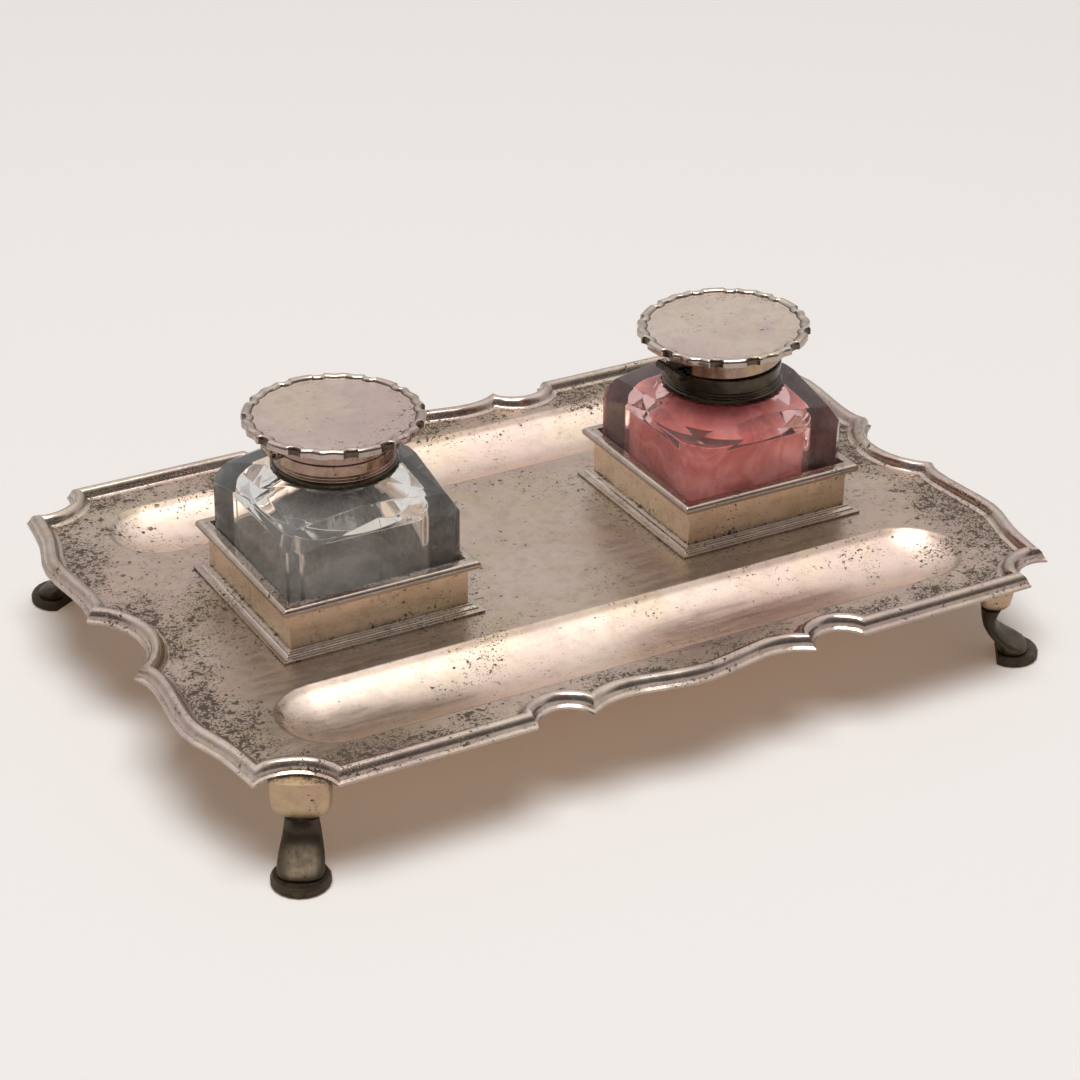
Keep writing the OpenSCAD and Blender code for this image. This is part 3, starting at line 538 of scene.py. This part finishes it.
# Section of the border, as depths behind the edge: a chamfered foot, a bead, a seam and a flange
FOOT_IN = 3.1 * MM
FOOT_FLAT = 0.35 * MM
FOOT_EDGE = 0.08 * MM
FOOT_CHAMFER = 0.1 * MM
BEAD_R = 1.3 * MM
BEAD_T = 1.15 * MM
BEAD_POINTS = 12
BEAD_TURN = 15
SEAM_GAP = 0.1 * MM
SEAM_W = 0.4 * MM
BORDER_IN = 4.3 * MM
SEAM_LIFTS = (0.06 * MM, 0.03 * MM, 0.02 * MM)
LID_SHARP = math.radians(50.0)

# Slots of the border's materials, and how many bands of its section are dark in the scoops. The last
# three bands are the seam, the flange and the underside that closes the ring.
HOLLOW_SLOT = 1
FLANGE_SLOT = 2
HOLLOW_BANDS = 7


def edge_inset(share):
    """How far the lid's edge steps back, by the distance from the middle of a wave."""
    if share < WAVE_END:
        return WAVE_DEPTH * (1 - math.cos(2 * math.pi * share / WAVE_END)) / 2
    middle = (WAVE_END + SCOOP_END) / 2
    inside = (share - middle) / (SCOOP_END - middle)
    if abs(inside) < 1:
        return SCOOP_DEPTH * math.sqrt(1 - inside * inside)
    return BAR_IN


def lid_matrix(side):
    """From the lid's own axes, with its disc's underside at zero, to its place on the hinge."""
    hinge = next(j for j in frame["joints"] if j["name"] == side + "_lid_hinge")
    pivot = Vector(hinge["pos_m"])
    middle = centre_of(side + "_collar")
    closed = Matrix.Translation((middle.x, middle.y, pivot.z + HALF_SEAM + SKIRT_H[side]))
    if side == "left":
        return closed
    swing = Matrix.Rotation(AJAR, 4, Vector(hinge["axis"]))
    return Matrix.Translation(pivot) @ swing @ Matrix.Translation(-pivot) @ closed


def border_section():
    """Section of the lid's border: (depth behind the edge, height), from its foot over the bead."""
    section = [(FOOT_IN, -LID_DROP), (FOOT_FLAT, -LID_DROP), (FOOT_EDGE, FOOT_CHAMFER - LID_DROP)]
    for i in range(BEAD_POINTS):
        turn = math.radians(180 - BEAD_TURN * i)
        section.append((BEAD_R * (1 + math.cos(turn)), LID_TOP - BEAD_T * (1 - math.sin(turn))))
    seam = section[-1][0] + SEAM_GAP
    inner = (seam, seam + SEAM_W, BORDER_IN)
    section += [(depth, DISC_T + lift) for depth, lift in zip(inner, SEAM_LIFTS)]
    return section


def share_of(k):
    """Distance of a step from the middle of its wave, as a share of one repeat."""
    return min(k, LID_STEPS - k) / LID_STEPS


def lid_border(side):
    """A bead that follows the cut edge, dark in its scoops and along its seam with the disc, standing
    for the plain solid."""
    section = border_section()
    bands = len(section)
    count = LID_REPEATS * LID_STEPS
    place = lid_matrix(side)
    points = []
    for i in range(count):
        turn = math.radians(LID_TURN[side]) + 2 * math.pi * i / count
        inset = edge_inset(share_of(i % LID_STEPS))
        for depth, z in section:
            follow = 1.0 - FOLLOW_LESS * (max(depth, 0.0) / BORDER_IN) ** 2
            r = LID_RADIUS - inset * follow - depth
            points.append(place @ Vector((r * math.cos(turn), r * math.sin(turn), z)))
    piece = mesh_piece(side + "_lid_rim", points, grid_faces(count, bands, closed_rows=True),
                       (rim_silver, hollow_silver, lid_silver), side + "_lid")
    seam_band = bands - 3
    flange_band = bands - 2
    for index, polygon in enumerate(piece.data.polygons):
        band = index % bands
        share = share_of(index // bands % LID_STEPS) + 0.5 / LID_STEPS
        in_scoop = WAVE_END < share < SCOOP_END and band < HOLLOW_BANDS
        if band == flange_band:
            polygon.material_index = FLANGE_SLOT
        elif band == seam_band or in_scoop:
            polygon.material_index = HOLLOW_SLOT
    split_edges(piece, LID_SHARP)
    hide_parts(side + "_lid_border")


for side in SIDES:
    lid_border(side)


# Dried ink inside the right glass

# Hollow of the bottle, as in the solid: heights are from the glass's underside
ROOM_HALF = 20.6 * MM
ROOM_CORNER = 8.0 * MM
ROOM_FLOOR = 6.2 * MM
ROOM_TOP = 27.6 * MM
FUNNEL_R = 19.6 * MM
FUNNEL_H = 6.0 * MM
BORE_R = 12.6 * MM

INK_GAP = 0.12 * MM
INK_COLUMNS = 96
FLOOR_MIDDLE = 0.02
FLOOR_EDGE = 0.9
BORE_BARE = 1.0 * MM


def room_radius(turn):
    """Distance from the axis to the film on the wall of the square room with round corners."""
    c, s = abs(math.cos(turn)), abs(math.sin(turn))
    straight = ROOM_HALF - ROOM_CORNER
    flat = (ROOM_HALF - INK_GAP) / max(c, s)
    if min(c, s) * flat <= straight:
        return flat
    along = straight * (c + s)
    return along + math.sqrt(along * along - 2 * straight * straight + (ROOM_CORNER - INK_GAP) ** 2)


def ink_film():
    """A film over the room's floor and walls, the funnel and most of the bore."""
    centre = centre_of("right_collar")
    low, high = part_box("right_glass")
    turns = [2 * math.pi * i / INK_COLUMNS for i in range(INK_COLUMNS)]
    square = [room_radius(turn) for turn in turns]
    funnel = [FUNNEL_R - INK_GAP] * INK_COLUMNS
    bore = [BORE_R - INK_GAP] * INK_COLUMNS
    floor_z = ROOM_FLOOR + INK_GAP
    rows = (
        ([r * FLOOR_MIDDLE for r in square], floor_z),
        ([r * FLOOR_EDGE for r in square], floor_z),
        (square, floor_z),
        (square, (ROOM_FLOOR + ROOM_TOP) / 2),
        (square, ROOM_TOP - INK_GAP),
        (funnel, ROOM_TOP - INK_GAP),
        (bore, ROOM_TOP + FUNNEL_H - INK_GAP),
        (bore, high.z - low.z - BORE_BARE),
    )
    points = [(centre.x + r * math.cos(t), centre.y + r * math.sin(t), low.z + z)
              for radii, z in rows for r, t in zip(radii, turns)]
    piece = mesh_piece("dried_ink", points, grid_faces(len(rows), INK_COLUMNS), (red_ink_film,),
                       "right_bottle")
    split_edges(piece)


ink_film()


# Crusts round the foot of each collar

CRUST_ROWS = 240
CRUST_COLUMNS = 8
CRUST_IN = 0.15 * MM
CRUST_LIFT = 0.02 * MM

# Unevenness of a crust: share of its size, waves in a turn, and where they start
SLOW_SHARE = 0.45
SLOW_WAVES = (5, 11)
SLOW_START = 0.7
FAST_SHARE = 0.3
FAST_WAVES = 37
FAST_START = 1.3


def raggedness(turn):
    """How wide and high a crust is at an angle, about one on average."""
    first, second = SLOW_WAVES
    slow = SLOW_SHARE * math.sin(first * turn + SLOW_START) * math.sin(second * turn)
    return 1.0 + slow + FAST_SHARE * math.sin(FAST_WAVES * turn + FAST_START)


def crust(side, material, width, height):
    """Ragged ring of dried matter on the glass, round the foot of the collar."""
    low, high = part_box(side + "_collar_ring")
    centre = centre_of(side + "_collar_ring")
    ring_r = (high.x - low.x) / 2
    points = []
    for i in range(CRUST_ROWS):
        turn = 2 * math.pi * i / CRUST_ROWS
        size = raggedness(turn)
        for j in range(CRUST_COLUMNS):
            a = 2 * math.pi * j / CRUST_COLUMNS
            r = ring_r - CRUST_IN + width * size * math.cos(a)
            z = low.z + CRUST_LIFT + height * max(0.0, math.sin(a)) * size
            points.append((centre.x + r * math.cos(turn), centre.y + r * math.sin(turn), z))
    mesh_piece(side + "_collar_crust", points, grid_faces(CRUST_ROWS, CRUST_COLUMNS, closed_rows=True),
               (material,), side + "_bottle")


crust("left", dirt_crust, width=0.35 * MM, height=0.3 * MM)
crust("right", ink_crust, width=0.55 * MM, height=0.4 * MM)


# Studio

FLOOR_HALF = 6.0
FLOOR_COLOURS = ((0.88, 0.91, 0.94), (0.89, 0.92, 0.95))
FLOOR_GRAIN = (3.0, 3.0, 0.6)
FLOOR_GLOW = (1.0, 0.63, 0.37, 1.0)
FLOOR_GLOW_STRENGTH = 0.14

# The room's light, by the direction towards the camera, and what metal and glass see of the room
TOWARDS_CAMERA = (-0.49, -0.87, 0.0)
ROOM_COLOUR = (1.0, 0.995, 0.99, 1.0)
ROOM_STRENGTH = 0.12
WALL_HEIGHTS = (0.3, 0.8)
WALL_STRENGTHS = (0.72, 1.35)
DARK_SIDE = (-0.15, 0.45)
DARK_SHARE = 0.2
GLASS_SIDE = (-0.6, 0.6)
GLASS_STRENGTHS = (0.75, 0.42)

LAMP_PLACE = (-0.33, -0.5, 3.5)
LAMP_AIM = (0.0, 0.0, 0.03)
LAMP_SIZE = (2.2, 2.1)
LAMP_POWER = 97.0
LAMP_COLOUR = (1.0, 0.98, 0.95)

CAMERA_PLACE = (-377.7, -664.8, 443.5)
CAMERA_AIM = (1.7, -1.0, 31.0)
CAMERA_ROLL = math.radians(0.83)
CAMERA_SENSOR = 36.0
CAMERA_LENS = 96.68
CAMERA_NEAR = 10 * MM


def floor():
    """A pale floor with a faint warm glow, which keeps the object's shadow brown and soft."""
    material, tree, place = new_material("floor")
    surface(tree, {
        "Base Color": blend_colours(tree, noise(tree, place, *FLOOR_GRAIN), *FLOOR_COLOURS),
        "Roughness": 0.7,
        "Emission Color": FLOOR_GLOW,
        "Emission Strength": FLOOR_GLOW_STRENGTH})
    mesh = bpy.data.meshes.new("floor")
    corners = [(x * FLOOR_HALF, y * FLOOR_HALF, 0) for x, y in ((-1, -1), (1, -1), (1, 1), (-1, 1))]
    mesh.from_pydata(corners, [], [(0, 1, 2, 3)])
    mesh.materials.append(material)
    piece = bpy.data.objects.new("floor", mesh)
    bpy.context.scene.collection.objects.link(piece)


def world():
    """Dim room light. Metal sees a bright wall behind the object and a dark one before it, glass sees
    a more even room, and the camera sees white."""
    made = bpy.data.worlds.new("studio")
    bpy.context.scene.world = made
    made.use_nodes = True
    tree = made.node_tree
    tree.nodes.clear()
    way = add(tree, "ShaderNodeTexCoord").outputs["Generated"]
    before = add(tree, "ShaderNodeVectorMath", {0: way, 1: TOWARDS_CAMERA}, operation="DOT_PRODUCT")
    before = before.outputs["Value"]
    wall = ramp(tree, split_axes(tree, way)["Z"], *WALL_HEIGHTS, *WALL_STRENGTHS)
    in_metal = times(tree, wall, ramp(tree, before, *DARK_SIDE, 1.0, DARK_SHARE))
    in_glass = ramp(tree, before, *GLASS_SIDE, *GLASS_STRENGTHS)
    path = add(tree, "ShaderNodeLightPath").outputs
    strength = ROOM_STRENGTH
    for ray, seen in (("Is Glossy Ray", in_metal), ("Is Transmission Ray", in_glass)):
        strength = add(tree, "ShaderNodeMix", {0: path[ray], 2: strength, 3: seen}).outputs[0]
    strength = largest(tree, strength, path["Is Camera Ray"])
    light = add(tree, "ShaderNodeBackground", {"Color": ROOM_COLOUR, "Strength": strength})
    add(tree, "ShaderNodeOutputWorld", {"Surface": light.outputs[0]})


def softbox():
    """One large soft lamp, high above and a little towards the camera."""
    light = bpy.data.lights.new("softbox", "AREA")
    light.shape = "RECTANGLE"
    light.size, light.size_y = LAMP_SIZE
    light.energy = LAMP_POWER
    light.color = LAMP_COLOUR
    piece = bpy.data.objects.new("softbox", light)
    piece.location = LAMP_PLACE
    piece.rotation_euler = (Vector(LAMP_AIM) - Vector(LAMP_PLACE)).to_track_quat("-Z", "Y").to_euler()
    bpy.context.scene.collection.objects.link(piece)


def camera():
    """The photograph's view: a long lens, looking down from the front left."""
    place = Vector(CAMERA_PLACE) * MM
    forward = (Vector(CAMERA_AIM) * MM - place).normalized()
    right = forward.cross(Vector((0, 0, 1))).normalized()
    up = right.cross(forward)
    c, s = math.cos(CAMERA_ROLL), math.sin(CAMERA_ROLL)
    matrix = Matrix((right * c + up * s, up * c - right * s, -forward)).transposed().to_4x4()
    matrix.translation = place
    data = bpy.data.cameras.new("camera")
    data.sensor_width = CAMERA_SENSOR
    data.lens = CAMERA_LENS
    data.clip_start = CAMERA_NEAR
    piece = bpy.data.objects.new("camera", data)
    piece.matrix_world = matrix
    bpy.context.scene.collection.objects.link(piece)
    bpy.context.scene.camera = piece


floor()
world()
camera()
softbox()
bpy.context.scene.view_settings.view_transform = "Standard"
